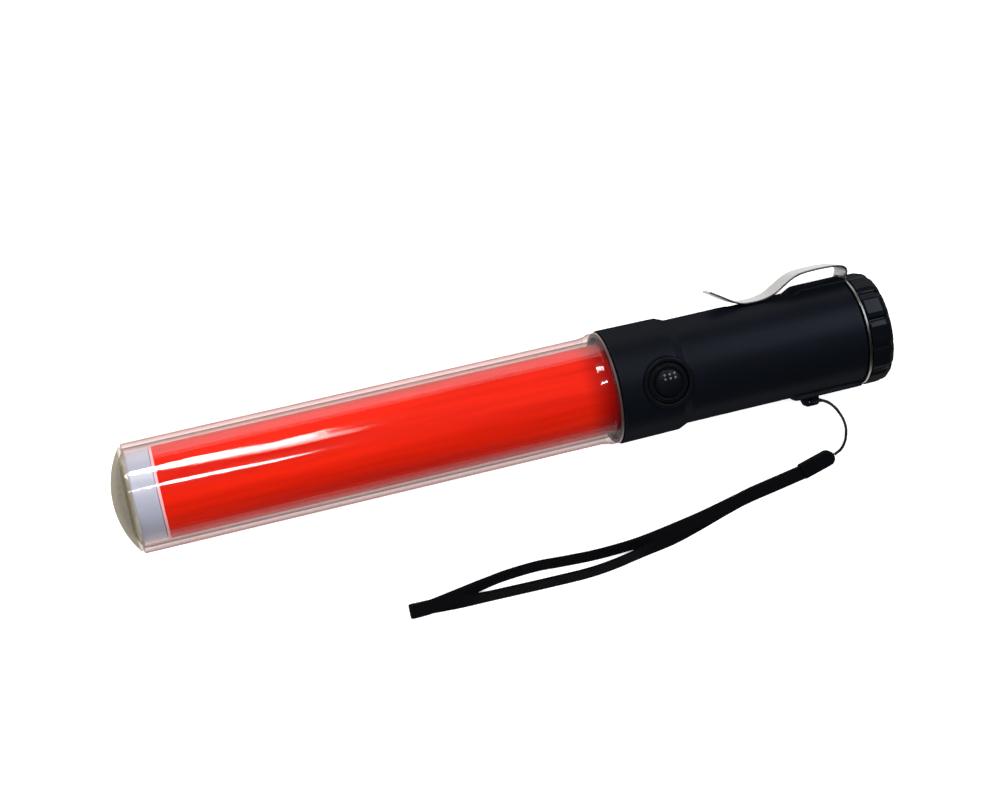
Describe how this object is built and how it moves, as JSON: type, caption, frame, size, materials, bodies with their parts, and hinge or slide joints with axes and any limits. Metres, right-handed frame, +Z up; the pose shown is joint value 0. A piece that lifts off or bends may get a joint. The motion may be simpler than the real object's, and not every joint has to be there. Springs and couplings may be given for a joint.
{
  "type": "traffic baton light",
  "caption": "Hand-held signal baton: clear tube with a red film and emitters, black handle with push button, belt clip, screwed tail cap and wrist strap.",
  "frame": {"origin": "on the floor under the middle of the baton's box, strap left out", "axes": "+X along the baton towards its tail cap, +Y towards the belt clip, +Z up, towards the push button"},
  "size_m": [0.291, 0.1016, 0.0446],
  "materials": {
    "clear_tube": "gloss",
    "clear_lens": "gloss",
    "plated_cup": "polished",
    "red_film": "satin",
    "white_board": "satin",
    "white_holder": "satin",
    "tip_emitter": "gloss",
    "red_emitter": "gloss",
    "black_base": "satin",
    "clear_gasket": "satin",
    "black_handle": "satin",
    "black_bezel": "satin",
    "button_rubber": "matte",
    "switch_plastic": "satin",
    "green_board": "satin",
    "red_wire": "satin",
    "black_wire": "satin",
    "contact_brass": "satin",
    "carrier_plastic": "satin",
    "cell_wrap": "gloss",
    "spring_steel": "satin",
    "clip_steel": "satin",
    "cap_plastic": "gloss",
    "seal_rubber": "matte",
    "strap_cord": "matte",
    "strap_sleeve": "satin",
    "strap_webbing": "matte"
  },
  "bodies": {
    "root": {"outer_tube": "clear_tube", "front_lens": "clear_lens", "reflector_cup": "plated_cup", "tip_led": "tip_emitter", "tip_board": "white_board", "lamp_holder": "white_holder", "filter_film": "red_film", "led_strip_board": "white_board", "red_led_1": "red_emitter", "red_led_2": "red_emitter", "red_led_3": "red_emitter", "red_led_4": "red_emitter", "red_led_5": "red_emitter", "red_led_6": "red_emitter", "light_base": "black_base", "tube_gasket": "clear_gasket", "handle_body": "black_handle", "button_bezel": "black_bezel", "switch_housing": "switch_plastic", "switch_board": "green_board", "lead_red": "red_wire", "lead_black": "black_wire", "front_terminal": "contact_brass", "battery_carrier": "carrier_plastic", "carrier_front_contact": "contact_brass", "carrier_rear_contact": "contact_brass", "cell_1": "cell_wrap", "cell_2": "cell_wrap", "cell_3": "cell_wrap", "cell_spring_1": "spring_steel", "cell_spring_2": "spring_steel", "cell_spring_3": "spring_steel", "clip_ring": "clip_steel", "strap_cord": "strap_cord", "strap_sleeve": "strap_sleeve", "strap_webbing": "strap_webbing"},
    "button": {"push_button": "button_rubber", "switch_plunger": "switch_plastic"},
    "seal": {"cap_seal": "seal_rubber"},
    "cap": {"tail_cap": "cap_plastic", "tail_contact": "contact_brass", "tail_spring": "spring_steel"},
    "clip": {"clip_spring": "clip_steel"}
  },
  "joints": [
    {"name": "button_press", "type": "slide", "parent": "root", "child": "button", "axis": [-0.005, 0, -1], "range_m": [0, 0.0014], "stiffness_N_per_m": 400, "springref_m": -0.0006},
    {"name": "cap_draw", "type": "slide", "parent": "root", "child": "seal", "axis": [1, 0, -0.005], "range_m": [0, 0.0075]},
    {"name": "cap_turn", "type": "hinge", "parent": "seal", "child": "cap", "pos_m": [0.13645, -0.00125, 0.02097], "axis": [1, 0, -0.005], "range_deg": [0, 900]},
    {"name": "clip_flex", "type": "hinge", "parent": "root", "child": "clip", "pos_m": [0.1356, 0.02025, 0.02097], "axis": [-0.005, 0, -1], "range_deg": [0, 9], "stiffness_Nm_per_rad": 0.8, "springref_deg": -1.72}
  ],
  "couplings": [
    {"joint": "cap_turn", "follows": "cap_draw", "rad_per_m": 2094.4}
  ]
}
